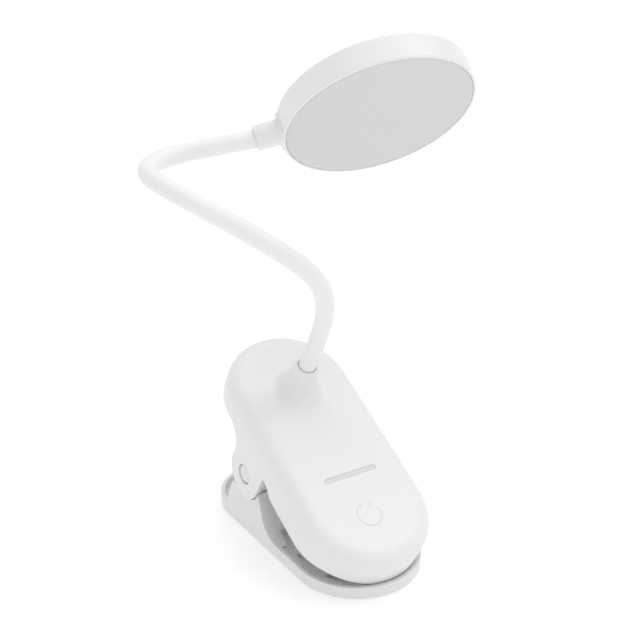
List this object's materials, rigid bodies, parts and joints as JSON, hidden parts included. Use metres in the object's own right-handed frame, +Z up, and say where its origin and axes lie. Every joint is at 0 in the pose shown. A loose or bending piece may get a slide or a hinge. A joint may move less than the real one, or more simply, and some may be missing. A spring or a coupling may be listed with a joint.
{
  "type": "clip-on reading lamp",
  "caption": "Battery reading lamp: a sprung clip with touch control, a bendable neck and a round light head.",
  "frame": {"origin": "on the underside of the lower jaw, on its symmetry plane, below the front of the hinge", "axes": "+Z up from the resting face, -Y towards the clip's nose, X across the clip"},
  "size_m": [0.1378, 0.114, 0.2099],
  "materials": {
    "white_shell": "satin",
    "soft_pad": "matte",
    "spring_steel": "drawn wire",
    "clear_light_bar": "frosted clear",
    "copper_foil": "bright foil",
    "circuit_board": "solder mask",
    "led_board_white": "white solder mask",
    "black_chips": "moulded",
    "grey_foam": "matte foam",
    "battery_pouch": "laminated foil",
    "red_lead": "satin",
    "socket_steel": "plated",
    "screw_steel": "zinc plated",
    "anchor_plastic": "moulded",
    "diffuser": "fine prismatic",
    "reflector_white": "matte",
    "led_phosphor": "gel",
    "neck_silicone": "satin",
    "core_steel": "wound wire"
  },
  "bodies": {
    "lower_half": {"lower_jaw": "white_shell", "lower_jaw_pad": "soft_pad", "hinge_pin": "white_shell", "torsion_spring": "spring_steel"},
    "upper_half": {"top_housing": "white_shell", "bottom_cover": "white_shell", "upper_jaw_pad": "soft_pad", "indicator_light_bar": "clear_light_bar", "touch_electrode": "copper_foil", "touch_spring": "spring_steel", "control_board": "circuit_board", "board_components": "black_chips", "battery_foam": "grey_foam", "battery_pack": "battery_pouch", "battery_leads": "red_lead", "usb_board": "circuit_board", "usb_socket": "socket_steel", "cover_screws": "screw_steel", "board_screws": "screw_steel", "neck_anchor": "anchor_plastic", "neck_sleeve_1": "neck_silicone", "neck_core_1": "core_steel"},
    "neck_link_2": {"neck_sleeve_2": "neck_silicone", "neck_core_2": "core_steel"},
    "neck_link_3": {"neck_sleeve_3": "neck_silicone", "neck_core_3": "core_steel"},
    "neck_link_4": {"neck_sleeve_4": "neck_silicone", "neck_core_4": "core_steel"},
    "neck_link_5": {"neck_sleeve_5": "neck_silicone", "neck_core_5": "core_steel"},
    "neck_link_6": {"neck_sleeve_6": "neck_silicone", "neck_core_6": "core_steel"},
    "neck_link_7": {"neck_sleeve_7": "neck_silicone", "neck_core_7": "core_steel"},
    "head": {"neck_sleeve_8": "neck_silicone", "neck_core_8": "core_steel", "head_cover": "white_shell", "diffuser_lens": "diffuser", "reflector_ring": "reflector_white", "led_board": "led_board_white", "led_row": "led_phosphor", "head_screws": "screw_steel", "head_socket": "white_shell", "head_anchor": "anchor_plastic"}
  },
  "joints": [
    {"name": "clamp_hinge", "type": "hinge", "parent": "lower_half", "child": "upper_half", "pos_m": [0, 0.01176, 0.0288], "axis": [-1, 0, 0], "range_deg": [0, 35], "stiffness_Nm_per_rad": 0.35, "springref_deg": -45.84, "deforming": ["torsion_spring"]},
    {"name": "neck_bend_1", "type": "hinge", "parent": "upper_half", "child": "neck_link_2", "pos_m": [-0.00205, -0.00934, 0.09883], "axis": [0.9496, -0.3135, 0], "range_deg": [-20, 20]},
    {"name": "neck_bend_2", "type": "hinge", "parent": "neck_link_2", "child": "neck_link_3", "pos_m": [-0.00855, -0.01965, 0.11638], "axis": [0.6071, 0.5594, 0.5644], "range_deg": [-20, 20]},
    {"name": "neck_bend_3", "type": "hinge", "parent": "neck_link_3", "child": "neck_link_4", "pos_m": [-0.0249, -0.01885, 0.13443], "axis": [0.3807, 0.9247, 0], "range_deg": [-20, 20]},
    {"name": "neck_bend_4", "type": "hinge", "parent": "neck_link_4", "child": "neck_link_5", "pos_m": [-0.04725, -0.0076, 0.15058], "axis": [0.4223, -0.2566, 0.8694], "range_deg": [-20, 20]},
    {"name": "neck_bend_5", "type": "hinge", "parent": "neck_link_5", "child": "neck_link_6", "pos_m": [-0.0598, 0.0114, 0.15958], "axis": [-0.9865, -0.1638, 0], "range_deg": [-20, 20]},
    {"name": "neck_bend_6", "type": "hinge", "parent": "neck_link_6", "child": "neck_link_7", "pos_m": [-0.05245, 0.0317, 0.16188], "axis": [-0.016, -0.0129, 0.9998], "range_deg": [-20, 20]},
    {"name": "neck_bend_7", "type": "hinge", "parent": "neck_link_7", "child": "head", "pos_m": [-0.02875, 0.0338, 0.16428], "axis": [0.3629, 0.9318, 0], "range_deg": [-20, 20]}
  ]
}
